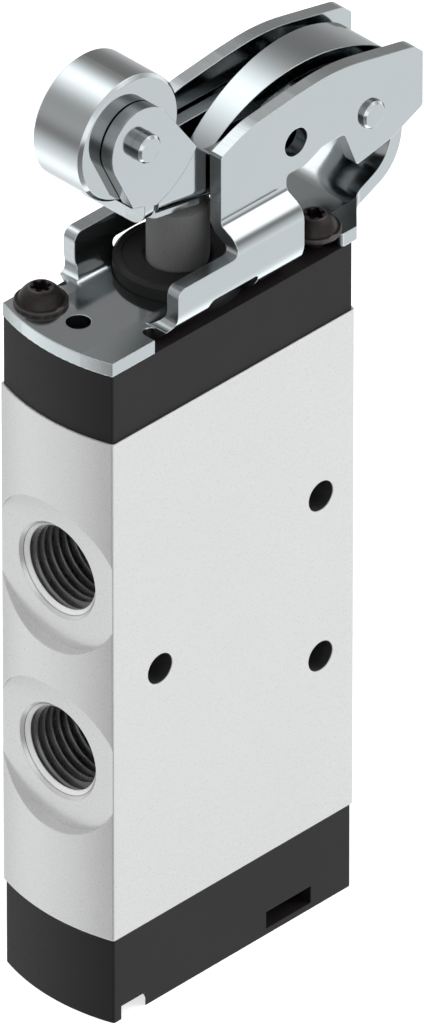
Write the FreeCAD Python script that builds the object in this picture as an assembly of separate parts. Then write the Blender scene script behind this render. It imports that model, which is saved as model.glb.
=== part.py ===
"""Roller lever air valve: a five-port spool valve worked by a roller on a sprung lever.

The frame is in millimetres. The origin is the middle of the bottom face, +Z is up the spool,
the two work ports face -Y, the three supply and exhaust ports face +Y, and the lever's pivot
lies along X above the rear edge.
"""

import FreeCAD, Part
import math
import os

# Valve body, an extruded bar with two bulged narrow faces
body_width = 20.5
body_depth = 44.3
body_height = 78.4
end_bulge = 1.7
body_edge_radius = 0.35
bore_radius = 7.5

# End caps
bottom_cap_height = 13.4
top_cap_height = 10.5
cap_inset = 0.25
cap_edge_radius = 0.4
cap_spigot_height = 1.0
cap_floor = 2.6
cap_window_y = 10.4
cap_window_length = 8.3
cap_window_height = 2.7
cap_window_rise = 0.95
cap_window_depth = 4.0
cap_seal_inset = 0.4
cap_seal_width = 1.4
cap_seal_height = 1.2

# Ports, with a G 1/4 thread
port_centre_offset = 0.4
front_port_pitch = 28.6
rear_port_pitch = 24.0
thread_major_radius = 6.58
thread_chamfer = 0.45
thread_depth = 12.0
port_drill_radius = 3.6
spotface_radius = 11.3

# Through holes for fastening the valve
mount_hole_radius = 2.25
front_hole_inset = 8.57
rear_hole_inset = 6.15
rear_hole_pitch = 25.4

# Spool and the stack of cages and seals round it
spool_radius = 4.0
spool_neck_radius = 2.6
spool_bottom_rise = 2.6
spool_chamfer = 0.4
stack_pitch = 12.0
seal_height = 2.4
seal_lip_height = 0.9
seal_neck_gap = 0.3
cage_rim_height = 1.2
cage_web_radius = 6.4
cage_gap = 0.9
cage_window_radius = 1.4
cage_window_count = 6
bush_shoulder_gap = 0.05

# Return spring
spring_wire_radius = 0.4
spring_coil_radius = 2.6
spring_turns = 7
spring_side_gap = 0.3

# Plunger and the collar that guides it
plunger_radius = 4.15
plunger_flange_radius = 5.3
plunger_flange_height = 2.0
plunger_flange_rise = 3.7
plunger_dome_radius = 6.5
collar_radius = 8.5
collar_flange_gap = 0.3
collar_top_rise = 2.3
collar_recess_radius = 7.3
collar_recess_depth = 1.3
collar_chamfer = 0.5
wiper_drop = 0.2

# Bracket, one stamping of flanges, ears, tongue and strap
sheet = 2.0
plate_bend_radius = 2.7
joggle_bend_radius = 1.0
flange_overhang = 0.53
far_flange_underhang = 0.15
ear_half_width = 7.5
flange_front_y = -10.72
flange_rear_y = 12.3
flange_foot_reach = 1.48
flange_foot_rise = 0.2
flange_foot_corner = 1.4
flange_low_top = 6.17
flange_front_corner = 1.35
flange_step_corner = 1.2
flange_rear_corner = 2.6
joggle_top = 9.7
joggle_bottom = 8.05
flange_notch_front_y = -4.75
flange_notch_rear_y = 4.1
flange_notch_rise = 1.75
far_notch_front_y = -4.05
far_notch_rise = 2.4
flange_notch_corner = 1.0
front_slot_radius = 1.0
front_slot_inset = 2.05
relief_side_inset = 3.65
relief_rear_end_y = 19.85
tail_front_corner = 0.6
plate_hole_inset = 4.05
plate_hole_radius = 1.65
tail_corner_y = 22.75
tail_foot_corner = 2.0

# Ears, with rises above the pivot and reaches behind it
ear_front_y = 0.35
ear_front_rise = 6.05
ear_brow_y = 5.55
ear_brow_rise = 8.2
ear_brow_corner = 12
ear_crown_rise = 9.17
ear_back_reach = -6.0
ear_back_rise = 9.75
ear_back_corner = 30
ear_shoulder_reach = 8.0
ear_shoulder_rise = 6.6
ear_shoulder_corner = 2.5
ear_rear_reach = 9.5
ear_rear_high = 5.2
ear_rear_low = -3.2
ear_heel_reach = 4.1
ear_heel_drop = 5.55
ear_hook_reach = -2.6
ear_hook_rise = 7.25
ear_hook_corner = 0.5
ear_gullet_reach = -4.95
ear_gullet_rise = 13.1
ear_slope_reach = -8.95
ear_underside_reach = -11.9
ear_underside_rise = 11.75
ear_underside_corner = 3.0
ear_edge_corner = 0.7
ear_hole_y = 14.05
ear_hole_rise = 16.1
ear_hole_radius = 2.05

# Tongue and strap
tongue_half_width = 5.0
tongue_start_y = 27.3
tongue_slope = 24.0
tongue_bend_radius = 5.9
tongue_taper_rise = 1.2
wrap_radius = 8.0
wrap_offset_y = 0.65
wrap_drop = 0.33
arch_radius = 24.2
arch_lead = 7.0
strap_end_angle = 140.0
strap_tip_half_width = 1.65
strap_neck_y = 13.3
strap_neck_half_width = 2.5
strap_wrap_half_width = 4.15

# Lever, one stamping of channel and fork
pivot_y = 27.85
pivot_rise = 14.03
channel_half_width = 5.1
fork_half_width = 6.6
channel_bend_radius = 0.6
hub_radius = 4.7
channel_front_y = -8.6
foot_slope = 0.185
foot_rise = 11.95
channel_slope = 0.085
foot_rear_y = 3.35
wall_sweep_y = 1.3
wall_sweep_corner = 4.0
axle_y = -13.15
axle_rise = 28.2
fork_radius = 5.3
fork_heel_radius = 10.9
fork_heel_bulge = 0.15
fork_corner_reach = 10.0
fork_corner_drop = 5.0
fork_tip_reach = 1.5
fork_tip_drop = 9.1
fork_web_front_y = -12.6
fork_web_rear_y = -10.9
fork_web_drop = 13.25
fork_web_overlap = 0.6
lever_travel = math.radians(7.7)

# Pins, roller and washers
pin_radius = 2.0
pin_half_length = 8.33
pin_chamfer = 0.35
roller_radius = 9.0
roller_half_width = 4.45
roller_chamfer = 0.45
roller_sink = 0.45
roller_room = 0.6
roller_bush_radius = 3.0
washer_radius = 3.6
washer_side_gap = 0.3
running_clearance = 0.04
side_play = 0.05
small_gap = 0.1

# Screws
screw_side_inset = 3.65
screw_end_inset = 3.8
screw_radius = 1.5
screw_hole_clearance = 0.1
screw_engagement = 9.0
bottom_screw_engagement = 7.0
screw_flange_radius = 3.6
screw_flange_height = 0.65
screw_flange_lip = 0.2
screw_head_radius = 3.1
screw_crown_radius = 1.55
screw_head_height = 1.9
screw_dome_steps = 7
screw_recess_radius = 1.4
screw_lobe_share = 0.75
screw_recess_depth = 1.3
screw_recess_lobes = 6
cap_screw_head_radius = 3.0
cap_screw_crown_radius = 2.1
cap_screw_head_height = 2.2
cap_screw_sunk = 1.2
screw_pocket_radius = 4.05
screw_pocket_depth = 2.1

# Places worked out from the sizes above
body_base = bottom_cap_height
body_top = body_base + body_height
plate_base = body_top + top_cap_height
plate_top = plate_base + sheet
body_side = body_width / 2
rear_y = body_depth / 2
port_mid_z = body_base + body_height / 2 + port_centre_offset
hole_mid_z = body_base + body_height / 2
front_hole_y = front_hole_inset - rear_y
rear_hole_y = rear_y - rear_hole_inset
screw_x = body_side - screw_side_inset
screw_y = rear_y - screw_end_inset
plate_half_width = body_side - cap_inset
flange_near_x = body_side + flange_overhang
flange_far_x = body_side - far_flange_underhang
relief_half_width = body_side - relief_side_inset
flange_foot_y = flange_front_y - flange_foot_reach
flat_half_width = flange_far_x - sheet - plate_bend_radius
plate_hole_y = plate_hole_inset - rear_y
seal_bore_radius = spool_radius + running_clearance
spool_bottom = body_base + spool_bottom_rise
plunger_bottom = body_top + plunger_flange_rise
spool_top = plunger_bottom
flange_top = plunger_bottom + plunger_flange_height
collar_bottom = flange_top + collar_flange_gap
collar_top = plate_top + collar_top_rise
pivot_z = plate_top + pivot_rise
axle_z = plate_top + axle_rise
foot_angle = math.atan(foot_slope)
arch_y = pivot_y - arch_lead
wrap_y = pivot_y + wrap_offset_y
wrap_z = pivot_z - wrap_drop
strap_rear_y = wrap_y + wrap_radius
cap_screw_seat = cap_screw_sunk + cap_screw_head_height


def vec(x, y, z):
    return FreeCAD.Vector(x, y, z)


def on_xy(z):
    return lambda a, b: vec(a, b, z)


def on_xz(y):
    return lambda a, b: vec(a, y, b)


def on_yz(x):
    return lambda a, b: vec(x, a, b)


def rounded_face(corners, place):
    """Flat face whose corners are (a, b) or (a, b, radius), put in space by place."""
    flat = [vec(c[0], c[1], 0) for c in corners]
    radii = [c[2] if len(c) > 2 else 0 for c in corners]
    starts, middles, ends = [], [], []
    for index, corner in enumerate(flat):
        before = (flat[index - 1] - corner).normalize()
        after = (flat[(index + 1) % len(flat)] - corner).normalize()
        half = before.getAngle(after) / 2
        middle = before + after
        if radii[index] and middle.Length > 1e-6:
            cut = radii[index] / math.tan(half)
            depth = radii[index] / math.sin(half) - radii[index]
            starts.append(corner + before * cut)
            middles.append(corner + middle.normalize() * depth)
            ends.append(corner + after * cut)
        else:
            starts.append(corner)
            middles.append(None)
            ends.append(corner)
    edges = []
    for index, middle in enumerate(middles):
        first = place(starts[index].x, starts[index].y)
        last = place(ends[index].x, ends[index].y)
        if middle:
            edges.append(Part.Arc(first, place(middle.x, middle.y), last).toShape())
        follow = starts[(index + 1) % len(starts)]
        follow = place(follow.x, follow.y)
        if last.distanceToPoint(follow) > 1e-4:
            edges.append(Part.LineSegment(last, follow).toShape())
    return Part.Face(Part.Wire(edges))


def prism_x(corners, x0, x1):
    return rounded_face(corners, on_yz(x0)).extrude(vec(x1 - x0, 0, 0))


def prism_y(corners, y0, y1):
    return rounded_face(corners, on_xz(y0)).extrude(vec(0, y1 - y0, 0))


def prism_z(corners, z0, z1):
    return rounded_face(corners, on_xy(z0)).extrude(vec(0, 0, z1 - z0))


def box(x0, x1, y0, y1, z0, z1):
    return Part.makeBox(x1 - x0, y1 - y0, z1 - z0, vec(x0, y0, z0))


def rod_x(radius, x0, x1, y, z):
    return Part.makeCylinder(radius, x1 - x0, vec(x0, y, z), vec(1, 0, 0))


def rod_z(radius, x, y, z0, z1):
    return Part.makeCylinder(radius, z1 - z0, vec(x, y, z0))


def ring_z(outer, inner, z0, z1, x=0, y=0):
    return rod_z(outer, x, y, z0, z1).cut(rod_z(inner, x, y, z0, z1))


def turned(profile, x=0, y=0):
    """Solid of revolution about a vertical axis from (radius, z) points."""
    points = [vec(r, 0, z) for r, z in profile]
    face = Part.Face(Part.makePolygon(points + points[:1]))
    solid = face.revolve(vec(0, 0, 0), vec(0, 0, 1), 360)
    solid.translate(vec(x, y, 0))
    return solid


def turned_x(profile, y, z):
    """Solid of revolution about an axis along X from (x, radius) points."""
    points = [vec(x, 0, r) for x, r in profile]
    face = Part.Face(Part.makePolygon(points + points[:1]))
    solid = face.revolve(vec(0, 0, 0), vec(1, 0, 0), 360)
    solid.translate(vec(0, y, z))
    return solid


def sheet_strip(path, inner_radius):
    """Corners of a bent sheet: path is one side of it, the other side lies to the left.

    A path point may bring its own inner bend radius as a third value.
    """
    base = [vec(point[0], point[1], 0) for point in path]
    bends = [point[2] if len(point) > 2 else inner_radius for point in path]
    steps = [(q - p).normalize() for p, q in zip(base, base[1:])]
    near, far = [], []
    for index, point in enumerate(base):
        step_in = steps[max(index - 1, 0)]
        step_out = steps[min(index, len(steps) - 1)]
        left_in = vec(-step_in.y, step_in.x, 0)
        left_out = vec(-step_out.y, step_out.x, 0)
        mitre = (left_in + left_out).normalize()
        side = point + mitre * (sheet / mitre.dot(left_out))
        turn = step_in.x * step_out.y - step_in.y * step_out.x
        if abs(turn) < 1e-6:
            near_radius, far_radius = 0, 0
        elif turn > 0:
            near_radius, far_radius = bends[index] + sheet, bends[index]
        else:
            near_radius, far_radius = bends[index], bends[index] + sheet
        near.append((point.x, point.y, near_radius))
        far.append((side.x, side.y, far_radius))
    return near + far[::-1]


def fused(shapes):
    whole = shapes[0]
    for shape in shapes[1:]:
        whole = whole.fuse(shape)
    return whole


def one_solid(shape):
    """The single solid of a boolean result."""
    return shape.Solids[0] if len(shape.Solids) == 1 else shape


def bulged_face(half_width, inset, place):
    """Plan outline of the bar, with its two narrow faces bulged."""
    y = rear_y - inset
    crown = y + end_bulge
    corners = [place(sx * half_width, sy * y) for sx, sy in ((1, -1), (1, 1), (-1, 1), (-1, -1))]
    edges = [
        Part.LineSegment(corners[0], corners[1]).toShape(),
        Part.Arc(corners[1], place(0, crown), corners[2]).toShape(),
        Part.LineSegment(corners[2], corners[3]).toShape(),
        Part.Arc(corners[3], place(0, -crown), corners[0]).toShape(),
    ]
    return Part.Face(Part.Wire(edges))


def bulged_block(inset, radius, z0, z1):
    block = bulged_face(body_side - inset, inset, on_xy(z0)).extrude(vec(0, 0, z1 - z0))
    upright = [e for e in block.Edges if abs(e.Vertexes[0].Z - e.Vertexes[-1].Z) > (z1 - z0) / 2]
    return block.makeFillet(radius, upright)


def screw_places(sign):
    """Two screws on one diagonal; sign picks the diagonal."""
    return [(-sign * screw_x, -screw_y), (sign * screw_x, screw_y)]


def port_list():
    """Each port as (end of the bar, height of its axis)."""
    front = [(-1, port_mid_z + s * front_port_pitch / 2) for s in (-1, 1)]
    rear = [(1, port_mid_z + s * rear_port_pitch) for s in (-1, 0, 1)]
    return front + rear


def port_cut(side, z):
    """Spotface, chamfer, thread bore at its major size and cross drilling of one port."""
    face_y = side * rear_y
    along = vec(0, -side, 0)
    spot = Part.makeCylinder(spotface_radius, 2 * end_bulge, vec(0, face_y, z), -along)
    bore = Part.makeCylinder(thread_major_radius, thread_depth, vec(0, face_y, z), along)
    cone = Part.makeCone(
        thread_major_radius + thread_chamfer, thread_major_radius, thread_chamfer,
        vec(0, face_y, z), along,
    )
    drill = Part.makeCylinder(port_drill_radius, rear_y, vec(0, face_y, z), along)
    return [spot, bore, cone, drill]


def mount_holes():
    end = body_side + 1
    places = [(front_hole_y, hole_mid_z)]
    places += [(rear_hole_y, hole_mid_z + s * rear_hole_pitch / 2) for s in (-1, 1)]
    return [rod_x(mount_hole_radius, -end, end, y, z) for y, z in places]


def valve_body():
    body = bulged_block(0, body_edge_radius, body_base, body_top)
    body = body.cut(rod_z(bore_radius, 0, 0, body_base, body_top))
    for side, z in port_list():
        for tool in port_cut(side, z):
            body = body.cut(tool)
    for hole in mount_holes():
        body = body.cut(hole)
    for x, y in screw_places(1):
        body = body.cut(rod_z(screw_radius, x, y, body_top - screw_engagement - small_gap, body_top))
    for x, y in screw_places(-1):
        top = body_base + bottom_screw_engagement + small_gap
        body = body.cut(rod_z(screw_radius, x, y, body_base, top))
    return body


def cap_spigot(z0, z1):
    inner = plunger_flange_radius + small_gap * 2
    return ring_z(bore_radius - running_clearance, inner, z0, z1)


def end_seal(z0, z1, gap):
    """Square ring round the bore, smaller all round than its groove by gap."""
    inner = bore_radius + cap_seal_inset + gap
    return ring_z(inner + cap_seal_width - 2 * gap, inner, z0, z1)


def top_cap():
    cap = bulged_block(cap_inset, cap_edge_radius, body_top, plate_base)
    cap = cap.fuse(cap_spigot(body_top - cap_spigot_height, body_top + small_gap))
    flange_room = plunger_flange_radius + small_gap * 2
    cap = cap.cut(rod_z(flange_room, 0, 0, body_top - cap_spigot_height, collar_bottom))
    cap = cap.cut(rod_z(collar_radius, 0, 0, collar_bottom, plate_base))
    cap = cap.cut(end_seal(body_top, body_top + cap_seal_height, 0))
    for x, y in screw_places(1):
        cap = cap.cut(rod_z(screw_radius + screw_hole_clearance, x, y, body_top, plate_base))
    return one_solid(cap)


def bottom_cap():
    cap = bulged_block(cap_inset, cap_edge_radius, 0, body_base)
    cap = cap.fuse(cap_spigot(body_base - small_gap, body_base + cap_spigot_height))
    spring_room = spring_coil_radius + spring_wire_radius + spring_side_gap
    cap = cap.cut(rod_z(spring_room, 0, 0, cap_floor, body_base))
    spool_room = spool_radius + spring_side_gap
    cap = cap.cut(rod_z(spool_room, 0, 0, body_base - bottom_cap_height / 2, body_base))
    inner = plunger_flange_radius + small_gap * 2
    cap = cap.cut(rod_z(inner, 0, 0, body_base, body_base + cap_spigot_height))
    cap = cap.cut(end_seal(body_base - cap_seal_height, body_base, 0))
    for x, y in screw_places(-1):
        cap = cap.cut(rod_z(screw_radius + screw_hole_clearance, x, y, 0, body_base))
        cap = cap.cut(rod_z(cap_screw_head_radius + 2 * screw_hole_clearance, x, y, 0, cap_screw_seat))
        cap = cap.cut(rod_z(screw_pocket_radius, x, y, 0, screw_pocket_depth))
    window_y = cap_window_y - cap_window_length / 2
    cap = cap.cut(box(
        body_side - cap_window_depth, body_side, window_y, window_y + cap_window_length,
        cap_window_rise, cap_window_rise + cap_window_height,
    ))
    return one_solid(cap)


def guide_bush(z0, z1):
    return ring_z(bore_radius - bush_shoulder_gap, seal_bore_radius, z0, z1)


def spacer_cage(z):
    """Rimmed ring with round windows that keeps two seals apart."""
    half = (stack_pitch - seal_height) / 2
    inner = spool_radius + cage_gap
    rim = bore_radius - bush_shoulder_gap
    cage = turned([
        (inner, z - half), (rim, z - half), (rim, z - half + cage_rim_height),
        (cage_web_radius, z - half + cage_rim_height), (cage_web_radius, z + half - cage_rim_height),
        (rim, z + half - cage_rim_height), (rim, z + half), (inner, z + half),
    ])
    for index in range(cage_window_count):
        angle = 2 * math.pi * index / cage_window_count
        outward = vec(math.cos(angle), math.sin(angle), 0)
        cage = cage.cut(Part.makeCylinder(cage_window_radius, bore_radius, vec(0, 0, z), outward))
    return cage


def spool_seal(z):
    """Ring that narrows to a lip on the spool."""
    half = seal_height / 2
    lip = seal_lip_height / 2
    shoulder = spool_radius + cage_gap
    return turned([
        (seal_bore_radius, z - lip), (shoulder, z - half), (bore_radius, z - half),
        (bore_radius, z + half), (shoulder, z + half), (seal_bore_radius, z + lip),
    ])


def stack_ends():
    reach = 2.5 * stack_pitch + seal_height / 2
    return port_mid_z - reach, port_mid_z + reach


def spool():
    """Rod with three necks; each neck joins two chambers in one of the spool's two positions."""
    rod = turned([
        (0, spool_bottom), (spool_radius - spool_chamfer, spool_bottom),
        (spool_radius, spool_bottom + spool_chamfer), (spool_radius, spool_top - spool_chamfer),
        (spool_radius - spool_chamfer, spool_top), (0, spool_top),
    ])
    seal_gap = seal_lip_height / 2 + seal_neck_gap
    open_gap = stroke / 2 + seal_lip_height
    middle = stack_pitch / 2 + open_gap
    necks = [
        (-2 * stack_pitch - seal_gap, -1.5 * stack_pitch + open_gap),
        (stroke / 2 - middle + seal_gap, stroke / 2 + middle - seal_gap),
        (1.5 * stack_pitch + seal_lip_height + seal_gap, 2.5 * stack_pitch - seal_lip_height),
    ]
    for low, high in necks:
        rod = rod.cut(ring_z(spool_radius + 1, spool_neck_radius, port_mid_z + low, port_mid_z + high))
    return rod


def return_spring():
    """Coil spring between the bottom cap's floor and the spool."""
    low = cap_floor
    high = spool_bottom
    first = low + spring_wire_radius
    rise = (high - low - 2 * spring_wire_radius) / spring_turns
    helix = Part.makeHelix(rise, rise * spring_turns, spring_coil_radius)
    helix.translate(vec(0, 0, first))
    start = vec(spring_coil_radius, 0, first)
    section = Part.Wire(Part.makeCircle(spring_wire_radius, start, vec(0, 1, 0)))
    return one_solid(Part.Wire(helix).makePipeShell([section], True, True))


def foot_line(y):
    """Height of the lever's underside above the plunger at the given Y."""
    return plate_top + foot_rise - foot_slope * y


def plunger():
    """Pin with a retaining flange and a domed top that meets the lever's sloping foot."""
    tip = foot_line(0) - (plunger_dome_radius + running_clearance) / math.cos(foot_angle)
    tip += plunger_dome_radius
    dome_drop = plunger_dome_radius - math.sqrt(plunger_dome_radius**2 - plunger_radius**2)
    top = tip - dome_drop
    body = rod_z(plunger_radius, 0, 0, plunger_bottom, tip)
    ball = Part.makeSphere(plunger_dome_radius, vec(0, 0, tip - plunger_dome_radius))
    body = body.common(rod_z(plunger_radius, 0, 0, plunger_bottom, top).fuse(ball))
    flange = rod_z(plunger_flange_radius, 0, 0, plunger_bottom, flange_top)
    return one_solid(fused([body, flange]))


def plunger_collar():
    bore = plunger_radius + running_clearance
    return turned([
        (bore, collar_bottom), (collar_radius, collar_bottom),
        (collar_radius, collar_top - collar_chamfer), (collar_radius - collar_chamfer, collar_top),
        (collar_recess_radius, collar_top), (collar_recess_radius, collar_top - collar_recess_depth),
        (bore, collar_top - collar_recess_depth),
    ])


def plunger_wiper():
    bore = plunger_radius + running_clearance
    low = collar_top - collar_recess_depth
    high = collar_top - wiper_drop
    return turned([
        (bore, low), (collar_recess_radius, low), (collar_recess_radius, high),
        (bore + collar_chamfer, high), (bore, high - collar_chamfer),
    ])


def mirrored(points):
    return points + [(-p[0],) + tuple(p[1:]) for p in reversed(points)]


def channel_section(half_width, base, top, radius):
    """U section of the sheet, open upwards, as rounded corners in (x, z)."""
    path = [(-half_width, top), (-half_width, base), (half_width, base), (half_width, top)]
    return sheet_strip(path, radius)


def flange_path(flange_x, side):
    """Outer side of plate, flange, joggle and ear, from the plate's underside upwards."""
    top = pivot_z + 2 * ear_crown_rise
    return [
        (side * flange_x, plate_base, plate_bend_radius), (side * flange_x, plate_top + joggle_bottom),
        (side * ear_half_width, plate_top + joggle_top), (side * ear_half_width, top),
    ]


def bracket_section():
    """Flanges, joggles and ears on the plate, as seen along Y."""
    far = flange_path(flange_far_x, -1)
    return sheet_strip(far[::-1] + flange_path(flange_near_x, 1), joggle_bend_radius)


def ear_outline():
    """Side view of flange and ear together."""
    rear = pivot_y + ear_rear_reach
    underside = plate_top + ear_underside_rise
    gullet = plate_top + ear_gullet_rise
    return [
        (flange_foot_y, plate_base), (flange_foot_y, plate_top + flange_foot_rise),
        (flange_front_y, plate_top + flange_foot_rise, flange_foot_corner),
        (flange_front_y, plate_top + flange_low_top, flange_front_corner),
        (ear_front_y, plate_top + flange_low_top, flange_step_corner),
        (ear_front_y, pivot_z + ear_front_rise, ear_edge_corner),
        (ear_brow_y, pivot_z + ear_brow_rise, ear_brow_corner),
        (ear_hole_y, pivot_z + ear_crown_rise),
        (pivot_y + ear_back_reach, pivot_z + ear_back_rise, ear_back_corner),
        (pivot_y + ear_shoulder_reach, pivot_z + ear_shoulder_rise, ear_shoulder_corner),
        (rear, pivot_z + ear_rear_high, ear_edge_corner), (rear, pivot_z + ear_rear_low, ear_edge_corner),
        (pivot_y + ear_heel_reach, pivot_z - ear_heel_drop),
        (pivot_y + ear_hook_reach, plate_top + ear_hook_rise, ear_hook_corner),
        (pivot_y + ear_gullet_reach, gullet, ear_edge_corner),
        (pivot_y + ear_slope_reach, gullet, ear_underside_corner),
        (pivot_y + ear_underside_reach, underside, ear_underside_corner),
        (flange_rear_y, underside, ear_edge_corner), (flange_rear_y, plate_base, flange_rear_corner),
    ]


def strap_sides():
    """Side views of tongue, wrap and arch, the three lengths of one bent strip."""
    rise = (strap_rear_y - tongue_start_y) * math.tan(math.radians(tongue_slope))
    strip = rounded_face(sheet_strip([
        (relief_rear_end_y, plate_base), (tongue_start_y, plate_base),
        (strap_rear_y, plate_base + rise), (strap_rear_y, wrap_z),
    ], tongue_bend_radius), on_yz(0))
    tangent = math.acos((wrap_y - arch_y) / (arch_radius - wrap_radius))
    arch_z = wrap_z - (arch_radius - wrap_radius) * math.sin(tangent)
    wrap = ring_sector(wrap_y, wrap_z, wrap_radius, 0, tangent)
    arch = ring_sector(arch_y, arch_z, arch_radius, tangent, math.radians(strap_end_angle))
    return [strip, wrap, arch]


def ring_sector(y, z, outer, start, end):
    """Flat sector of a ring one sheet thick, in the plane of Y and Z."""
    def at(radius, angle):
        return vec(0, y + radius * math.cos(angle), z + radius * math.sin(angle))

    middle = (start + end) / 2
    inner = outer - sheet
    edges = [
        Part.Arc(at(outer, start), at(outer, middle), at(outer, end)).toShape(),
        Part.LineSegment(at(outer, end), at(inner, end)).toShape(),
        Part.Arc(at(inner, end), at(inner, middle), at(inner, start)).toShape(),
        Part.LineSegment(at(inner, start), at(outer, start)).toShape(),
    ]
    return Part.Face(Part.Wire(edges))


def tail_plan():
    """Plan of the plate's chamfered tail and the tongue behind it."""
    tongue_y = tail_corner_y + plate_half_width - tongue_half_width
    return mirrored([
        (plate_half_width, relief_rear_end_y, tail_front_corner), (plate_half_width, tail_corner_y),
        (tongue_half_width, tongue_y, tail_foot_corner), (tongue_half_width, strap_rear_y + 1),
    ])


def strap():
    """Tail, tongue, and the arched strap that tapers to its tip between the lever's walls."""
    solids = [face.extrude(vec(2 * body_width, 0, 0)) for face in strap_sides()]
    for solid in solids:
        solid.translate(vec(-body_width, 0, 0))
    strip, wrap, arch = solids
    tip_y = arch_y + arch_radius * math.cos(math.radians(strap_end_angle))
    plan = mirrored([
        (strap_tip_half_width, tip_y - sheet), (strap_neck_half_width, strap_neck_y),
        (strap_wrap_half_width, strap_rear_y + 1),
    ])
    over = prism_z(plan, wrap_z - sheet - arch_radius, pivot_z + arch_radius)
    taper = prism_y(mirrored([
        (body_width, plate_base - 1), (body_width, plate_top + tongue_taper_rise),
        (tongue_half_width, plate_top + tongue_taper_rise),
        (strap_wrap_half_width, wrap_z), (strap_wrap_half_width, wrap_z + 1),
    ]), relief_rear_end_y, strap_rear_y + 1)
    tail = strip.common(prism_z(tail_plan(), plate_base - 1, wrap_z + 1)).common(taper)
    return [tail, wrap.common(over), arch.common(over)]


def front_plate():
    """Flat plate with its bulged front lobe, slotted at the sides ahead of the flanges."""
    lobe = bulged_face(plate_half_width, cap_inset, on_xy(plate_base)).extrude(vec(0, 0, sheet))
    lobe = lobe.common(box(-body_width, body_width, -body_depth, flange_foot_y, plate_base, plate_top))
    slot_x = body_side - front_slot_inset
    slot_y = flange_foot_y - front_slot_radius
    for side in (-1, 1):
        low, high = sorted((side * slot_x, side * body_width))
        lobe = lobe.cut(box(
            low, high, slot_y - front_slot_radius, slot_y + front_slot_radius, plate_base - 1, plate_top + 1,
        ))
        lobe = lobe.cut(rod_z(front_slot_radius, side * slot_x, slot_y, plate_base - 1, plate_top + 1))
    middle = box(-flat_half_width, flat_half_width, flange_foot_y, flange_rear_y, plate_base, plate_top)
    waist = box(
        -relief_half_width, relief_half_width, flange_rear_y, relief_rear_end_y + 1, plate_base, plate_top,
    )
    return [lobe, middle, waist]


def flange_notch(side, front_y, rise):
    """Opening for the collar through a flange and its bend."""
    low, high = sorted((side * flat_half_width, side * body_width))
    top = plate_top + rise
    return prism_x([
        (front_y, plate_base - 1), (front_y, top, flange_notch_corner),
        (flange_notch_rear_y, top, ear_edge_corner), (flange_notch_rear_y, plate_base - 1),
    ], low, high)


def bracket():
    """One bent stamping: plate, two flanges, two ears, and the tongue that curls into the strap."""
    rear = pivot_y + ear_rear_reach + 1
    outline = prism_x(ear_outline(), -body_width, body_width)
    folded = prism_y(bracket_section(), flange_foot_y, flange_rear_y)
    inner = ear_half_width - sheet
    ears = [
        box(min(s * inner, s * ear_half_width), max(s * inner, s * ear_half_width),
            flange_rear_y, rear, plate_top, pivot_z + 2 * ear_crown_rise)
        for s in (-1, 1)
    ]
    whole = fused([fused([folded] + ears).common(outline)] + front_plate() + strap())
    whole = whole.cut(flange_notch(1, flange_notch_front_y, flange_notch_rise))
    whole = whole.cut(flange_notch(-1, far_notch_front_y, far_notch_rise))
    whole = whole.cut(rod_z(collar_radius + small_gap, 0, 0, plate_base - 1, collar_top + small_gap))
    whole = whole.cut(rod_z(plate_hole_radius, 0, plate_hole_y, plate_base - 1, plate_top + 1))
    for x, y in screw_places(1):
        whole = whole.cut(rod_z(screw_radius + screw_hole_clearance, x, y, plate_base - 1, plate_top + 1))
    ear_hole_z = plate_top + ear_hole_rise
    whole = whole.cut(rod_x(ear_hole_radius, -body_width, body_width, ear_hole_y, ear_hole_z))
    whole = whole.cut(rod_x(pin_radius, -body_width, body_width, pivot_y, pivot_z))
    return one_solid(whole)


def channel_run(y0, y1, slope):
    """Length of the lever's channel between two Y places, its underside falling at a slope."""
    section = channel_section(channel_half_width, 0, pivot_rise + axle_rise, channel_bend_radius)
    face = rounded_face(section, on_xz(y0))
    face.translate(vec(0, 0, foot_line(y0)))
    return face.extrude(vec(0, y1 - y0, slope * (y0 - y1)))


def lever_channel():
    """Channel from the fork to the round hubs; its foot rests on the plunger."""
    top = pivot_z + hub_radius
    low = pivot_z - pivot_y
    corner_y = axle_y + fork_corner_reach
    corner_z = axle_z - fork_corner_drop
    outline = prism_x([
        (channel_front_y, low), (channel_front_y, corner_z), (corner_y, corner_z),
        (wall_sweep_y, top, wall_sweep_corner), (pivot_y, top), (pivot_y, low),
    ], -body_width, body_width)
    runs = channel_run(channel_front_y, foot_rear_y, foot_slope)
    runs = runs.fuse(channel_run(foot_rear_y, pivot_y, channel_slope)).common(outline)
    inner = channel_half_width - sheet
    hub_room = box(-inner, inner, pivot_y - hub_radius - sheet, pivot_y + sheet, low, top)
    roller_space = rod_x(roller_radius + roller_room, -body_width, body_width, axle_y, axle_z)
    hubs = [
        rod_x(hub_radius, *sorted((s * inner, s * channel_half_width)), pivot_y, pivot_z) for s in (-1, 1)
    ]
    return runs.cut(hub_room).cut(roller_space).fuse(hubs)


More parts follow.
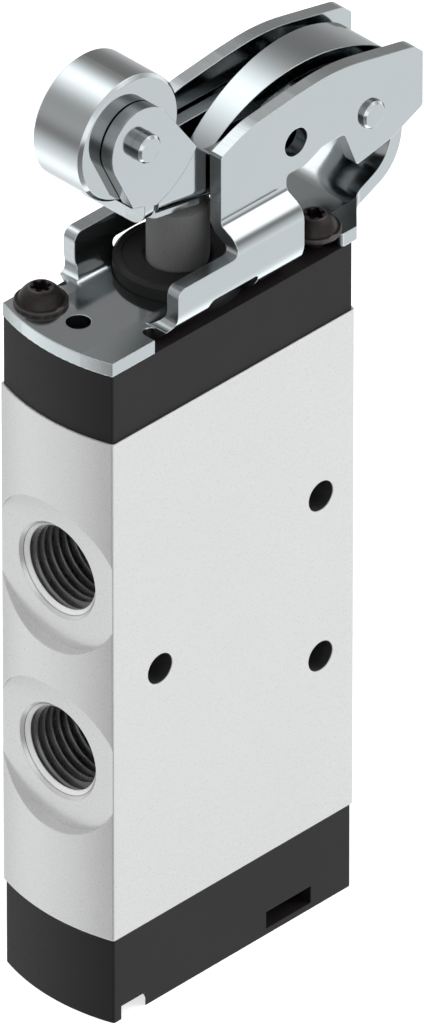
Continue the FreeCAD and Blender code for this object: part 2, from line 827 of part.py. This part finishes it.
def fork_outline():
    """Side view of the fork's plates about the roller's axle."""
    def at(angle, radius=fork_radius):
        return axle_y + radius * math.cos(angle), axle_z + radius * math.sin(angle)

    tip = (axle_y - fork_tip_reach, axle_z - fork_tip_drop)
    corner = (axle_y + fork_corner_reach, axle_z - fork_corner_drop)
    reach_tip = math.hypot(fork_tip_reach, fork_tip_drop)
    reach_corner = math.hypot(fork_corner_reach, fork_corner_drop)
    left = math.atan2(-fork_tip_drop, -fork_tip_reach) - math.acos(fork_radius / reach_tip)
    right = math.atan2(-fork_corner_drop, fork_corner_reach) + math.acos(fork_radius / reach_corner)
    left += 2 * math.pi
    heel_start = math.atan2(-fork_corner_drop, fork_corner_reach)
    heel_end = math.atan2(-fork_heel_radius, fork_web_rear_y + 0.5 - axle_y)
    place = on_yz(0)
    first = place(*at(left))
    last = place(*at(right))
    heel_top = place(*at(heel_start, reach_corner))
    heel_low = place(*at(heel_end, fork_heel_radius))
    heel_middle = (reach_corner + fork_heel_radius) / 2 - fork_heel_bulge
    heel_mid = place(*at((heel_start + heel_end) / 2, heel_middle))
    edges = [
        Part.Arc(first, place(*at((left + right) / 2)), last).toShape(),
        Part.LineSegment(last, heel_top).toShape(),
        Part.Arc(heel_top, heel_mid, heel_low).toShape(),
        Part.LineSegment(heel_low, place(*tip)).toShape(),
        Part.LineSegment(place(*tip), first).toShape(),
    ]
    return Part.Face(Part.Wire(edges))


def fork():
    """Two plates that hold the axle, bent up from a web below the roller."""
    low = axle_z - fork_web_drop
    high = axle_z + 2 * fork_radius
    plates = fork_outline().extrude(vec(2 * body_width, 0, 0))
    plates.translate(vec(-body_width, 0, 0))
    web_top = axle_z - fork_tip_drop + fork_web_overlap
    web_zone = box(-body_width, body_width, fork_web_front_y, fork_web_rear_y, low, web_top)
    section = channel_section(fork_half_width, low, high, channel_bend_radius)
    front = axle_y - fork_radius - 1
    rear = axle_y + fork_corner_reach + 1
    return prism_y(section, front, rear).common(plates.fuse(web_zone))


def lever_web():
    """Web that runs from the fork down to the channel, seen from the side."""
    low = axle_z - fork_web_drop
    strip = sheet_strip([
        (fork_web_front_y + 1, low), (fork_web_rear_y, low),
        (channel_front_y, foot_line(channel_front_y)), (0, foot_line(0)),
    ], channel_bend_radius)
    half = channel_half_width - channel_bend_radius
    return prism_x(strip, -half, half)


def lever():
    """One bent stamping: channel with its hubs, foot on the plunger, and the fork for the roller."""
    whole = fused([lever_channel(), lever_web(), fork()])
    whole = whole.cut(rod_x(pin_radius + running_clearance, -body_width, body_width, pivot_y, pivot_z))
    whole = whole.cut(rod_x(pin_radius, -body_width, body_width, axle_y, axle_z))
    return one_solid(whole)


def pin(y, z):
    """Plain pin along X with chamfered ends."""
    end = pin_half_length
    narrow = pin_radius - pin_chamfer
    return turned_x([
        (-end, 0), (-end, narrow), (-end + pin_chamfer, pin_radius),
        (end - pin_chamfer, pin_radius), (end, narrow), (end, 0),
    ], y, z)


def washer_x(side, x0, x1, y, z):
    low, high = sorted((side * x0, side * x1))
    outer = rod_x(washer_radius, low, high, y, z)
    return outer.cut(rod_x(pin_radius + running_clearance, low, high, y, z))


def roller():
    """Roller with chamfered rims and a sunk hub face on each side for its washer."""
    half = roller_half_width
    rim = roller_radius - roller_chamfer
    hub = washer_radius + washer_side_gap
    right = [
        (half - roller_sink, roller_bush_radius), (half - roller_sink, hub), (half, hub),
        (half, rim), (half - roller_chamfer, roller_radius),
    ]
    return turned_x(mirrored(right), axle_y, axle_z)


def roller_bush():
    half = roller_half_width - roller_sink
    outer = rod_x(roller_bush_radius, -half, half, axle_y, axle_z)
    return outer.cut(rod_x(pin_radius + running_clearance, -half, half, axle_y, axle_z))


def domed(crown, edge, base, rise):
    """Half profile of a spherical dome from its edge up to a flat crown."""
    sunk = (edge**2 - crown**2 - rise**2) / (2 * rise)
    radius = math.hypot(edge, sunk)
    low = math.atan2(sunk, edge)
    high = math.atan2(rise + sunk, crown)
    points = []
    for step in range(screw_dome_steps + 1):
        angle = low + (high - low) * step / screw_dome_steps
        points.append((radius * math.cos(angle), base + radius * math.sin(angle) - sunk))
    return points + [(0, base + rise)]


def flanged_head():
    """Half profile of a domed head on its flange."""
    flange = [
        (0, 0), (screw_flange_radius, 0), (screw_flange_radius, screw_flange_height - screw_flange_lip),
        (screw_flange_radius - screw_flange_lip, screw_flange_height),
    ]
    return flange + domed(screw_crown_radius, screw_head_radius, screw_flange_height, screw_head_height)


def plain_head():
    """Half profile of a low domed head."""
    foot = cap_screw_head_height / 2
    dome = domed(cap_screw_crown_radius, cap_screw_head_radius, foot, cap_screw_head_height - foot)
    return [(0, 0), (cap_screw_head_radius, 0)] + dome


def screw(x, y, seat, length, profile, up):
    """Screw with a six-lobe recess in a turned head; up is 1 where its head is on top."""
    top = profile[-1][1]
    head = turned(profile)
    low = top - screw_recess_depth
    lobe_reach = screw_recess_radius * screw_lobe_share
    lobe_radius = screw_recess_radius - lobe_reach
    recess = rod_z(lobe_reach, 0, 0, low, top + 1)
    for index in range(screw_recess_lobes):
        angle = 2 * math.pi * index / screw_recess_lobes
        lobe_x = lobe_reach * math.cos(angle)
        lobe_y = lobe_reach * math.sin(angle)
        recess = recess.fuse(rod_z(lobe_radius, lobe_x, lobe_y, low, top + 1))
    shank = rod_z(screw_radius, 0, 0, -length, small_gap)
    whole = fused([head.cut(recess), shank])
    if up < 0:
        whole = whole.rotate(vec(0, 0, 0), vec(1, 0, 0), 180)
    whole.translate(vec(x, y, seat))
    return whole


def bracket_screws():
    length = sheet + top_cap_height + screw_engagement
    screws = [screw(x, y, plate_top, length, flanged_head(), 1) for x, y in screw_places(1)]
    return Part.makeCompound(screws)


def bottom_cap_screws():
    length = bottom_cap_height - cap_screw_seat + bottom_screw_engagement
    screws = [screw(x, y, cap_screw_seat, length, plain_head(), -1) for x, y in screw_places(-1)]
    return Part.makeCompound(screws)


def plunger_drop(angle):
    """How far the foot pushes the dome's centre down when the lever has turned by angle."""
    foot_depth = (pivot_z - foot_line(pivot_y)) * math.cos(foot_angle)

    def centre(turn):
        slope = foot_angle - turn
        return pivot_y * math.tan(slope) - (foot_depth + plunger_dome_radius) / math.cos(slope)

    return centre(0) - centre(angle)


stroke = plunger_drop(lever_travel)


def nodes():
    """Every piece by name."""
    low_stack, high_stack = stack_ends()
    parts = {
        "valve_body": valve_body(),
        "top_cap": top_cap(),
        "bottom_cap": bottom_cap(),
        "top_cap_seal": end_seal(body_top, body_top + cap_seal_height, running_clearance),
        "bottom_cap_seal": end_seal(body_base - cap_seal_height, body_base, running_clearance),
        "lower_guide_bush": guide_bush(body_base + cap_spigot_height, low_stack),
        "upper_guide_bush": guide_bush(high_stack, body_top - cap_spigot_height),
        "spool": spool(),
        "return_spring": return_spring(),
        "plunger": plunger(),
        "plunger_collar": plunger_collar(),
        "plunger_wiper": plunger_wiper(),
        "bracket": bracket(),
        "bracket_screws": bracket_screws(),
        "bottom_cap_screws": bottom_cap_screws(),
        "lever": lever(),
        "pivot_pin": pin(pivot_y, pivot_z),
        "roller_axle": pin(axle_y, axle_z),
        "roller": roller(),
        "roller_bush": roller_bush(),
    }
    for index in range(5):
        parts[f"spacer_cage_{index + 1}"] = spacer_cage(port_mid_z + (index - 2) * stack_pitch)
    for index in range(6):
        parts[f"spool_seal_{index + 1}"] = spool_seal(port_mid_z + (index - 2.5) * stack_pitch)
    for name, side in (("left", -1), ("right", 1)):
        inner = channel_half_width + side_play
        outer = ear_half_width - sheet
        parts[f"pivot_washer_{name}"] = washer_x(side, inner, outer, pivot_y, pivot_z)
        inner = roller_half_width - roller_sink + side_play
        outer = fork_half_width - sheet
        parts[f"roller_washer_{name}"] = washer_x(side, inner, outer, axle_y, axle_z)
    return parts


os.makedirs("parts", exist_ok=True)
for name, shape in nodes().items():
    shape.exportStep(f"parts/{name}.step")
    print(name, len(shape.Solids), shape.isValid(), round(shape.Volume, 2))
print("stroke", round(stroke, 4), "ratio m/rad", round(stroke / lever_travel / 1000, 6))
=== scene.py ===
"""Looks of the roller lever air valve: studio, camera, materials and the threads that CAD leaves out."""

import bpy
import math
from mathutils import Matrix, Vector


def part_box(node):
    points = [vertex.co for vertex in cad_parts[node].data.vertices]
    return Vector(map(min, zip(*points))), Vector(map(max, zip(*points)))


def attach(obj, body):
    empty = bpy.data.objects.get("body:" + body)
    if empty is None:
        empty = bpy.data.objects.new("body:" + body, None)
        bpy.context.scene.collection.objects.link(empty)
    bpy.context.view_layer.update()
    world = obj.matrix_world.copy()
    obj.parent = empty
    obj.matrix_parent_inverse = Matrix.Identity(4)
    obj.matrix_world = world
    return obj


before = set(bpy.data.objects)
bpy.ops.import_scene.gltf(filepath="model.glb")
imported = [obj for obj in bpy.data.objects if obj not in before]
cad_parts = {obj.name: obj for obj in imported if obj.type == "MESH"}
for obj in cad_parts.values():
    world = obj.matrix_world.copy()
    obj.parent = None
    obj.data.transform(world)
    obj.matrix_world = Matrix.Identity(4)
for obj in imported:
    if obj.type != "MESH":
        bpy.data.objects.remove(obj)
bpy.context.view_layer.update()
MM = 0.001

# Camera, as fitted to the photograph
VIEW_AZIMUTH = math.radians(45)
VIEW_ELEVATION = math.radians(34.732)
VIEW_DISTANCE = 3.5912
VIEW_TARGET = Vector((0, 0, 0.0654))
VIEW_SIDE = 0.0044
VIEW_RISE = 0.00018
SENSOR = 18
LENS = 486.0
CLIP_END = 20

# Floor and lamps; a lamp is its name, azimuth from +X towards +Y, elevation, size and power
FLOOR_SIZE = 6.0
FLOOR_WHITE = 0.62
FLOOR_GLOW = 0.7
LAMP_AIM = Vector((0, 0, 0.07))
LAMP_DISTANCE = 1.2
LAMPS = (
    ("key", -150, 50, 0.9, 5.0),
    ("side", 55, 25, 1.0, 13.0),
)

# Light that matte surfaces get from all round
PLAIN_LEVEL = 0.72

# What metal mirrors in the studio: azimuth from +X towards +Y, elevation, brightness
ZONES = (
    (-150, -47, 1.3), (-137, -36, 0.66), (-129, -23, 0.46), (-126, -10, 0.05), (-126, 6, 0.36),
    (-130, 28, 0.31), (-142, 43, 0.28), (-158, 52, 1.0), (172, 55, 1.4), (150, 47, 0.36),
    (135, 36, 0.13), (127, 14, 0.18), (126, -6, 0.38), (130, -25, 0.56), (142, -42, 1.1),
    (157, -51, 0.42), (178, -54, 1.0), (-171, -30, 0.3), (-99, -35, 0.05), (-117, -36, 0.85),
    (-60, -30, 0.11), (-30, -40, 0.30), (45, -35, 0.60), (20, -15, 0.9), (75, -10, 0.9),
    (45, -70, 1.1), (75, -52, 1.0), (110, -55, 1.7), (40, 0, 0.45), (45, 22, 0.15),
    (57, 48, 1.2), (80, 55, 1.3), (95, -35, 0.6), (90, 25, 0.45), (0, 85, 0.45),
    (0, 40, 0.6), (-60, 20, 0.9), (-90, 50, 0.35), (-95, 5, 0.45), (175, 10, 0.7),
)
ZONE_SHARPNESS = 32.0
SECOND_MIRROR = 0.3
TINT_FROM, TINT_TO = 0.15, 0.6
WARM_DARK = (1.0, 0.975, 0.955, 1)
COOL_LIGHT = (0.975, 0.995, 1.0, 1)

# Fine detail that the materials share, and the painted shade that darkens metal between other pieces
NOISE_LOW, NOISE_HIGH = 0.3, 0.7
BUMP_STRENGTH = 0.6
SHADER_SAMPLES = 6
# Painted shade: the colour metal turns to where ambient occlusion within this reach finds it shut in
CREVICE_PAINTED_SHADE = (0.05, 0.055, 0.06, 1)
PAINTED_SHADE_REACH = 14.0 * MM
PAINTED_SHADE_SHUT, PAINTED_SHADE_OPEN = 0.05, 0.45

# Bare metal inside the block, everywhere within these distances from its middle; its dark colour is
# partly painted shade of the deep holes
BARE_X = 10.15 * MM
BARE_Y = 21.8 * MM
BARE_FADE = 0.1 * MM
BARE_SHADED_COLOUR = (0.30, 0.30, 0.31, 1)
BARE_METALLIC = 0.9

# Sheet metal: half width inside which the bracket and the lever have no sheared edge
BRACKET_SHEARED = 5.3 * MM
LEVER_SHEARED = 3.05 * MM
SHEARED_FADE = 0.1 * MM
SHEARED_ROUGHER = 0.14
SHEARED_DEPTH = 1.5
PLATED = (0.89, 0.955, 0.98, 1)
PLATED_SHEARED = (0.84, 0.88, 0.90, 1)
PLATED_CLOUDED = (0.86, 0.91, 0.94, 1)

# Ports: their flat faces lie inside the block's narrow faces, their heights count from its middle
PORT_FACE_INSET = 1.7 * MM
WORK_PORT_RISES = (-13.9 * MM, 14.7 * MM)
SUPPLY_PORT_RISES = (-23.6 * MM, 0.4 * MM, 24.4 * MM)

# G 1/4 thread; its shares are parts of the pitch, its run-in and run-out parts of a turn
THREAD_CREST = 5.72 * MM
THREAD_ROOT = 6.66 * MM
THREAD_PITCH = 1.337 * MM
THREAD_TURNS = 7
THREAD_STEPS = 56
THREAD_CREST_SHARE = 0.07
THREAD_ROOT_SHARE = 0.46
THREAD_START = 0.75 * MM
THREAD_RUN_IN = 0.3
THREAD_RUN_OUT = 1.0
LEAD_IN_RADIUS = 6.02 * MM
LEAD_IN_START = 0.4 * MM


def look_from(place, target):
    return (target - place).to_track_quat("-Z", "Y").to_euler()


def direction(azimuth, elevation):
    """Unit vector; azimuth is counted from +X towards +Y, both in degrees."""
    a, e = math.radians(azimuth), math.radians(elevation)
    return math.cos(e) * math.cos(a), math.cos(e) * math.sin(a), math.sin(e)


def link(name, data):
    piece = bpy.data.objects.new(name, data)
    bpy.context.scene.collection.objects.link(piece)
    return piece


def add_camera():
    """Camera at the photograph's angle, a long lens from far away."""
    ahead = Vector((
        -math.sin(VIEW_AZIMUTH) * math.cos(VIEW_ELEVATION),
        math.cos(VIEW_AZIMUTH) * math.cos(VIEW_ELEVATION),
        -math.sin(VIEW_ELEVATION),
    ))
    side = Vector((math.cos(VIEW_AZIMUTH), math.sin(VIEW_AZIMUTH), 0))
    rise = side.cross(ahead)
    place = VIEW_TARGET - ahead * VIEW_DISTANCE
    target = VIEW_TARGET + side * VIEW_SIDE + rise * VIEW_RISE
    data = bpy.data.cameras.new("camera")
    data.sensor_fit = "VERTICAL"
    data.sensor_height = SENSOR
    data.lens = LENS
    data.clip_end = CLIP_END
    camera = link("camera", data)
    camera.location = place
    camera.rotation_euler = look_from(place, target)
    bpy.context.scene.camera = camera


class Nodes:
    """Short way to build a node tree."""

    def __init__(self, tree):
        self.tree = tree
        tree.nodes.clear()

    def add(self, kind, inputs=None, **settings):
        node = self.tree.nodes.new(kind)
        for name, value in settings.items():
            setattr(node, name, value)
        for name, value in (inputs or {}).items():
            self.put(node.inputs[name], value)
        return node

    def put(self, socket, value):
        if isinstance(value, bpy.types.NodeSocket):
            self.tree.links.new(value, socket)
        else:
            socket.default_value = value

    def math(self, operation, a, b=0.0, c=0.0):
        node = self.add("ShaderNodeMath", operation=operation)
        for socket, value in zip(node.inputs, (a, b, c)):
            self.put(socket, value)
        return node.outputs[0]

    def ramp(self, value, from_low, from_high, low=0.0, high=1.0):
        """Smooth step of value between from_low and from_high."""
        node = self.add("ShaderNodeMapRange", {
            "Value": value, "From Min": from_low, "From Max": from_high, "To Min": low, "To Max": high,
        }, interpolation_type="SMOOTHSTEP")
        return node.outputs["Result"]

    def spread(self, noise, low, high):
        """Noise turned into a value between low and high."""
        return self.ramp(noise, NOISE_LOW, NOISE_HIGH, low, high)

    def mix(self, factor, a, b):
        node = self.add("ShaderNodeMix", data_type="RGBA")
        self.put(node.inputs[0], factor)
        self.put(node.inputs[6], a)
        self.put(node.inputs[7], b)
        return node.outputs[2]

    def mix_shaders(self, factor, a, b):
        return self.add("ShaderNodeMixShader", {0: factor, 1: a, 2: b}).outputs[0]

    def sky(self, strength, colour=(1, 1, 1, 1)):
        return self.add("ShaderNodeBackground", {"Strength": strength, "Color": colour}).outputs[0]

    def place(self):
        """Coordinates on the object itself."""
        return self.add("ShaderNodeTexCoord").outputs["Object"]

    def away(self, vector, axis):
        """Size of one component of a vector."""
        split = self.add("ShaderNodeSeparateXYZ", {"Vector": vector})
        return self.math("ABSOLUTE", split.outputs[axis])

    def noise(self, scale, detail, stretch=(1, 1, 1)):
        """Noise on the object's own coordinates; scale is features per metre."""
        stretched = self.add("ShaderNodeMapping", {"Vector": self.place(), "Scale": stretch})
        noise = self.add("ShaderNodeTexNoise", {
            "Vector": stretched.outputs[0], "Scale": scale, "Detail": detail,
        })
        return noise.outputs["Fac"]


def zone_level(n, ray):
    """Brightness of the studio along a ray, blended between the zones around it."""
    total, weights = 0.0, 0.0
    for azimuth, elevation, level in ZONES:
        towards = {0: ray, 1: direction(azimuth, elevation)}
        dot = n.add("ShaderNodeVectorMath", towards, operation="DOT_PRODUCT").outputs["Value"]
        weight = n.math("EXPONENT", n.math("MULTIPLY_ADD", dot, ZONE_SHARPNESS, -ZONE_SHARPNESS))
        total = n.math("MULTIPLY_ADD", weight, level, total)
        weights = n.math("ADD", weight, weights)
    return n.math("DIVIDE", total, weights)


def studio_world():
    """White to the camera; mirrors see the studio's zones, and matte surfaces an even light.

    What one mirror shows of another mirror is dim, so metal stays dark between its folds.
    """
    world = bpy.data.worlds.new("studio")
    world.use_nodes = True
    bpy.context.scene.world = world
    n = Nodes(world.node_tree)
    path = n.add("ShaderNodeLightPath").outputs
    level = zone_level(n, n.add("ShaderNodeTexCoord").outputs["Generated"])
    level = n.math("MULTIPLY", level, n.ramp(path["Glossy Depth"], 1.0, 2.0, 1.0, SECOND_MIRROR))
    tint = n.mix(n.ramp(level, TINT_FROM, TINT_TO), WARM_DARK, COOL_LIGHT)
    unseen = n.mix_shaders(path["Is Glossy Ray"], n.sky(PLAIN_LEVEL), n.sky(level, tint))
    seen = n.mix_shaders(path["Is Camera Ray"], unseen, n.sky(1.0))
    n.add("ShaderNodeOutputWorld", {"Surface": seen})


def add_lamp(name, azimuth, elevation, size, power):
    """Soft round lamp that neither the camera nor a mirror sees."""
    place = Vector(direction(azimuth, elevation)) * LAMP_DISTANCE
    data = bpy.data.lights.new(name, "AREA")
    data.shape = "DISK"
    data.size = size
    data.energy = power
    lamp = link(name, data)
    lamp.location = place
    lamp.rotation_euler = look_from(place, LAMP_AIM)
    lamp.visible_glossy = False
    lamp.visible_camera = False


def new_material(name):
    material = bpy.data.materials.new(name)
    material.use_nodes = True
    return material, Nodes(material.node_tree)


def add_floor():
    """White floor that still takes the object's shadow."""
    material, n = new_material("floor")
    matte = n.add("ShaderNodeBsdfDiffuse", {"Color": (FLOOR_WHITE, FLOOR_WHITE, FLOOR_WHITE, 1)})
    glow = n.add("ShaderNodeEmission", {"Color": (1, 1, 1, 1), "Strength": FLOOR_GLOW})
    lit = n.add("ShaderNodeAddShader", {0: matte.outputs[0], 1: glow.outputs[0]})
    path = n.add("ShaderNodeLightPath").outputs
    shader = n.mix_shaders(path["Is Camera Ray"], matte.outputs[0], lit.outputs[0])
    n.add("ShaderNodeOutputMaterial", {"Surface": shader})
    half = FLOOR_SIZE / 2
    corners = [(-half, -half, 0), (half, -half, 0), (half, half, 0), (-half, half, 0)]
    mesh = bpy.data.meshes.new("floor")
    mesh.from_pydata(corners, [], [(0, 1, 2, 3)])
    mesh.materials.append(material)
    floor = link("floor", mesh)
    floor.visible_glossy = False


def shades(colour, darker, lighter):
    """A darker and a lighter form of one colour, no channel over 1."""
    dark = tuple(c * darker for c in colour)
    light = tuple(min(1, c * lighter) for c in colour)
    return dark + (1,), light + (1,)


def painted_crevice_shade(n, shade):
    """Colour darkened with painted shade where the metal stands deep between other pieces, as ambient
    occlusion finds it.
    """
    sky = n.add("ShaderNodeAmbientOcclusion", {"Distance": PAINTED_SHADE_REACH}, samples=SHADER_SAMPLES)
    return n.mix(n.ramp(sky.outputs["AO"], PAINTED_SHADE_SHUT, PAINTED_SHADE_OPEN), CREVICE_PAINTED_SHADE, shade)


def surface(n, colour, metallic, roughness, height, depth, edge, **sockets):
    """Principled surface with bumps of a given depth, its sharp edges rounded by the edge radius."""
    rounded = n.add("ShaderNodeBevel", {"Radius": edge}, samples=SHADER_SAMPLES).outputs[0]
    bump = n.add("ShaderNodeBump", {
        "Height": height, "Distance": depth, "Strength": BUMP_STRENGTH, "Normal": rounded,
    })
    shader = n.add("ShaderNodeBsdfPrincipled", {
        "Base Color": colour, "Metallic": metallic, "Roughness": roughness, "Normal": bump.outputs[0],
    })
    for name, value in sockets.items():
        shader.inputs[name.replace("_", " ")].default_value = value
    n.add("ShaderNodeOutputMaterial", {"Surface": shader.outputs[0]})


def anodised(name, colour, metallic, roughness, bored=1.0):
    """Fine blasted and anodised aluminium; where bored is 1, its holes and ports are bare metal,
    darkened with painted shade of their depth.
    """
    material, n = new_material(name)
    grain = n.noise(scale=9000, detail=5.0)
    cloud = n.noise(scale=60, detail=2.0)
    tone = n.math("ADD", n.math("MULTIPLY", grain, 0.05), n.math("MULTIPLY", cloud, 0.03))
    dark, light = shades(colour, darker=0.95, lighter=1.05)
    shade = n.mix(n.math("MULTIPLY", tone, 12.5), dark, light)
    across = n.ramp(n.away(n.place(), 0), BARE_X, BARE_X - BARE_FADE, 0.0, bored)
    along = n.ramp(n.away(n.place(), 1), BARE_Y, BARE_Y - BARE_FADE)
    bare_and_shaded = n.math("MULTIPLY", across, along)
    # Bare metal in the holes, its colour darkened with painted shade
    shade = n.mix(bare_and_shaded, shade, BARE_SHADED_COLOUR)
    rough = n.spread(grain, roughness - 0.03, roughness + 0.03)
    shine = n.math("MULTIPLY_ADD", bare_and_shaded, BARE_METALLIC - metallic, metallic)
    surface(n, shade, shine, rough, grain, depth=0.008 * MM, edge=0.18 * MM)
    return material


def cut_metal(name):
    """Freshly tapped aluminium in the ports, its colour darkened with painted shade of the port's depth.
    """
    material, n = new_material(name)
    rings = n.noise(scale=1200, detail=3.0, stretch=(0.3, 3, 0.3))
    # Dark and light tones of the tapped rings, both darkened with painted shade inside the port
    shade = n.mix(rings, (0.26, 0.26, 0.27, 1), (0.50, 0.50, 0.51, 1))
    rough = n.spread(rings, 0.24, 0.36)
    surface(n, shade, BARE_METALLIC, rough, rings, depth=0.004 * MM, edge=0.06 * MM)
    return material


def moulded(name, colour, roughness, grain_scale=5000, depth=0.02 * MM):
    """Black moulded plastic with a spark-eroded grain."""
    material, n = new_material(name)
    grain = n.noise(scale=grain_scale, detail=4.0)
    patch = n.noise(scale=150, detail=2.0)
    tone = n.math("ADD", grain, n.math("MULTIPLY", patch, 0.5))
    dark, light = shades(colour, darker=0.85, lighter=1.18)
    shade = n.mix(n.ramp(tone, 0.5, 1.0), dark, light)
    rough = n.spread(grain, roughness - 0.06, roughness + 0.06)
    surface(n, shade, 0.0, rough, grain, depth, edge=0.15 * MM, Specular_IOR_Level=0.4)
    return material


def sheet_metal(name, roughness, sheared):
    """Bright plated sheet; its sheared edges show fine striations across the thickness."""
    material, n = new_material(name)
    fine = n.noise(scale=1800, detail=3.0)
    cloud = n.noise(scale=90, detail=2.0)
    stripes = n.noise(scale=4200, detail=3.0, stretch=(0.08, 1, 0.6))
    normal = n.add("ShaderNodeNewGeometry").outputs["True Normal"]
    narrow = n.ramp(n.away(normal, 0), 0.35, 0.2)
    outside = n.ramp(n.away(n.place(), 0), sheared, sheared + SHEARED_FADE)
    rim = n.math("MULTIPLY", narrow, outside)
    shade = n.mix(n.math("MULTIPLY", n.ramp(stripes, 0.35, 0.65), rim), PLATED, PLATED_SHEARED)
    shade = n.mix(n.math("MULTIPLY", cloud, 0.2), shade, PLATED_CLOUDED)
    rough = n.math("MULTIPLY_ADD", rim, SHEARED_ROUGHER, n.spread(cloud, roughness, roughness + 0.05))
    height = n.math("MULTIPLY_ADD", n.math("MULTIPLY", stripes, rim), SHEARED_DEPTH, fine)
    # Plated colour darkened with painted shade between other pieces
    surface(n, painted_crevice_shade(n, shade), 1.0, rough, height, depth=0.002 * MM, edge=0.18 * MM)
    return material


def turned_steel(name, roughness):
    """Polished turned steel with faint lathe rings about the X axis."""
    material, n = new_material(name)
    rings = n.noise(scale=1500, detail=2.0, stretch=(1, 0.02, 0.02))
    fine = n.noise(scale=2500, detail=3.0)
    shade = n.mix(fine, (0.87, 0.925, 0.95, 1), (0.91, 0.96, 0.98, 1))
    rough = n.ramp(rings, 0.35, 0.65, roughness - 0.02, roughness + 0.04)
    # Steel colour darkened with painted shade between other pieces
    surface(n, painted_crevice_shade(n, shade), 1.0, rough, rings, depth=0.0008 * MM, edge=0.15 * MM)
    return material


def blackened(name):
    """Blackened steel, worn a little brighter along its edges."""
    material, n = new_material(name)
    grain = n.noise(scale=4000, detail=4.0)
    worn = n.ramp(n.add("ShaderNodeNewGeometry").outputs["Pointiness"], 0.52, 0.6)
    shade = n.mix(grain, (0.020, 0.016, 0.016, 1), (0.045, 0.036, 0.036, 1))
    shade = n.mix(n.math("MULTIPLY", worn, 0.6), shade, (0.16, 0.14, 0.14, 1))
    surface(n, shade, 0.55, n.spread(grain, 0.28, 0.4), grain, depth=0.006 * MM, edge=0.12 * MM)
    return material


def dress(material, *names):
    for name in names:
        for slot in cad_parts[name].material_slots:
            slot.material = material


def add_to_valve(name, points, faces, material):
    mesh = bpy.data.meshes.new(name)
    mesh.from_pydata(points, [], faces)
    mesh.materials.append(material)
    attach(link(name, mesh), "valve")


def port_point(port, radius, turn, depth):
    """Point in a port, which is the y and z of its face's centre and the side it opens to."""
    y, z, side = port
    return radius * math.cos(turn), y - side * depth, z + side * radius * math.sin(turn)


def thread(name, port, material):
    """Helical ridge of one threaded port, wound inwards from the port's face."""
    profile = [
        (THREAD_ROOT, -THREAD_ROOT_SHARE), (THREAD_CREST, -THREAD_CREST_SHARE),
        (THREAD_CREST, THREAD_CREST_SHARE), (THREAD_ROOT, THREAD_ROOT_SHARE),
    ]
    points, faces = [], []
    rows = THREAD_TURNS * THREAD_STEPS
    for row in range(rows + 1):
        turns = row / THREAD_STEPS
        fade = min(1.0, turns / THREAD_RUN_IN, (THREAD_TURNS - turns) / THREAD_RUN_OUT)
        depth = THREAD_START + THREAD_PITCH * (turns + THREAD_ROOT_SHARE)
        for radius, along in profile:
            reach = THREAD_ROOT + (radius - THREAD_ROOT) * fade
            points.append(port_point(port, reach, 2 * math.pi * turns, depth + along * THREAD_PITCH))
        if row:
            base = 4 * row
            for edge in range(3):
                faces.append((base + edge, base + edge + 1, base + edge - 3, base + edge - 4))
    end = 4 * rows
    faces.append((3, 2, 1, 0))
    faces.append((end, end + 1, end + 2, end + 3))
    add_to_valve(name, points, faces, material)


def lead_in(name, port, material):
    """Countersunk ring that leads into one port's thread."""
    start, end = LEAD_IN_START, LEAD_IN_START + THREAD_ROOT - LEAD_IN_RADIUS
    profile = [(THREAD_ROOT, start), (LEAD_IN_RADIUS, end), (THREAD_ROOT, end)]
    points, faces = [], []
    for row in range(THREAD_STEPS):
        turn = 2 * math.pi * row / THREAD_STEPS
        for radius, depth in profile:
            points.append(port_point(port, radius, turn, depth))
        follow = 3 * ((row + 1) % THREAD_STEPS)
        for edge in range(3):
            other = (edge + 1) % 3
            faces.append((3 * row + edge, 3 * row + other, follow + other, follow + edge))
    add_to_valve(name, points, faces, material)


def port_threads(metal, rim):
    """Threads and their lead-ins in the five ports, placed from the block's own box."""
    low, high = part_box("valve_body")
    middle = (low[2] + high[2]) / 2
    face = high[1] - PORT_FACE_INSET
    for kind, side, rises in (("work", -1, WORK_PORT_RISES), ("supply", 1, SUPPLY_PORT_RISES)):
        for index, rise in enumerate(rises, 1):
            port = (side * face, middle + rise, side)
            thread(f"{kind}_port_thread_{index}", port, metal)
            lead_in(f"{kind}_port_lead_in_{index}", port, rim)


add_camera()
studio_world()
for lamp in LAMPS:
    add_lamp(*lamp)
add_floor()

body_grey = anodised("body_anodised", colour=(0.86, 0.86, 0.86), metallic=0.6, roughness=0.3)
cap_black = moulded("cap_moulded", colour=(0.0115, 0.0095, 0.0098), roughness=0.5)
sheet_bright = sheet_metal("sheet_plated", roughness=0.08, sheared=BRACKET_SHEARED)
lever_bright = sheet_metal("lever_plated", roughness=0.07, sheared=LEVER_SHEARED)
steel = turned_steel("steel_turned", roughness=0.07)
plunger_grey = moulded(
    "plunger_grey", colour=(0.185, 0.185, 0.185), roughness=0.36, grain_scale=7000, depth=0.006 * MM)
collar_black = moulded(
    "collar_black", colour=(0.014, 0.014, 0.014), roughness=0.4, grain_scale=7000, depth=0.006 * MM)
screw_black = blackened("screw_blackened")
thread_cut = cut_metal("thread_tapped")
port_rim = anodised("port_rim", colour=(0.92, 0.92, 0.92), metallic=0.15, roughness=0.35, bored=0.0)

dress(body_grey, "valve_body")
dress(cap_black, "top_cap", "bottom_cap")
dress(sheet_bright, "bracket")
dress(lever_bright, "lever")
dress(steel, "roller", "roller_axle", "pivot_pin", "roller_bush")
dress(steel, "roller_washer_left", "roller_washer_right", "pivot_washer_left", "pivot_washer_right")
dress(plunger_grey, "plunger")
dress(collar_black, "plunger_collar", "plunger_wiper")
dress(screw_black, "bracket_screws", "bottom_cap_screws")
port_threads(thread_cut, port_rim)

bpy.context.scene.view_settings.view_transform = "Standard"
